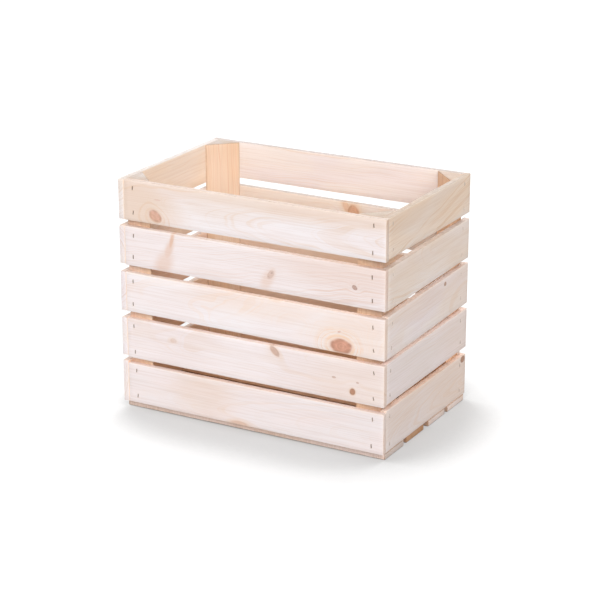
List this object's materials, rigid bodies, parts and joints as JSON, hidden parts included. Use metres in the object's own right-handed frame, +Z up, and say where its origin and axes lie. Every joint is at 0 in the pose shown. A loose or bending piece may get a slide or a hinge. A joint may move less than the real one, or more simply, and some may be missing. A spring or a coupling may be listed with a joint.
{
  "type": "wooden fruit crate",
  "caption": "Open pine fruit crate: tiers of slats stapled round three-cornered posts, over lengthwise base boards.",
  "frame": {"origin": "middle of the crate's underside, on the floor", "axes": "+X along the long side to the right, +Y from the front wall to the back wall, +Z up"},
  "size_m": [0.5, 0.315, 0.407],
  "materials": {
    "slat_pine": "sawn, bare",
    "post_pine": "sawn, bare",
    "base_pine": "rough sawn, bare",
    "staple_wire": "dull drawn wire"
  },
  "bodies": {
    "root": {"back_slat_1": "slat_pine", "back_slat_2": "slat_pine", "back_slat_3": "slat_pine", "back_slat_4": "slat_pine", "back_slat_5": "slat_pine", "base_board_1": "base_pine", "base_board_2": "base_pine", "base_board_3": "base_pine", "base_board_4": "base_pine", "corner_post_back_left": "post_pine", "corner_post_back_right": "post_pine", "corner_post_front_left": "post_pine", "corner_post_front_right": "post_pine", "front_slat_1": "slat_pine", "front_slat_2": "slat_pine", "front_slat_3": "slat_pine", "front_slat_4": "slat_pine", "front_slat_5": "slat_pine", "left_slat_1": "slat_pine", "left_slat_2": "slat_pine", "left_slat_3": "slat_pine", "left_slat_4": "slat_pine", "left_slat_5": "slat_pine", "right_slat_1": "slat_pine", "right_slat_2": "slat_pine", "right_slat_3": "slat_pine", "right_slat_4": "slat_pine", "right_slat_5": "slat_pine", "staples_back_wall_left_end": "staple_wire", "staples_back_wall_right_end": "staple_wire", "staples_base_left_end": "staple_wire", "staples_base_right_end": "staple_wire", "staples_front_wall_left_end": "staple_wire", "staples_front_wall_right_end": "staple_wire", "staples_left_wall_left_end": "staple_wire", "staples_left_wall_right_end": "staple_wire", "staples_right_wall_left_end": "staple_wire", "staples_right_wall_right_end": "staple_wire"}
  },
  "joints": []
}
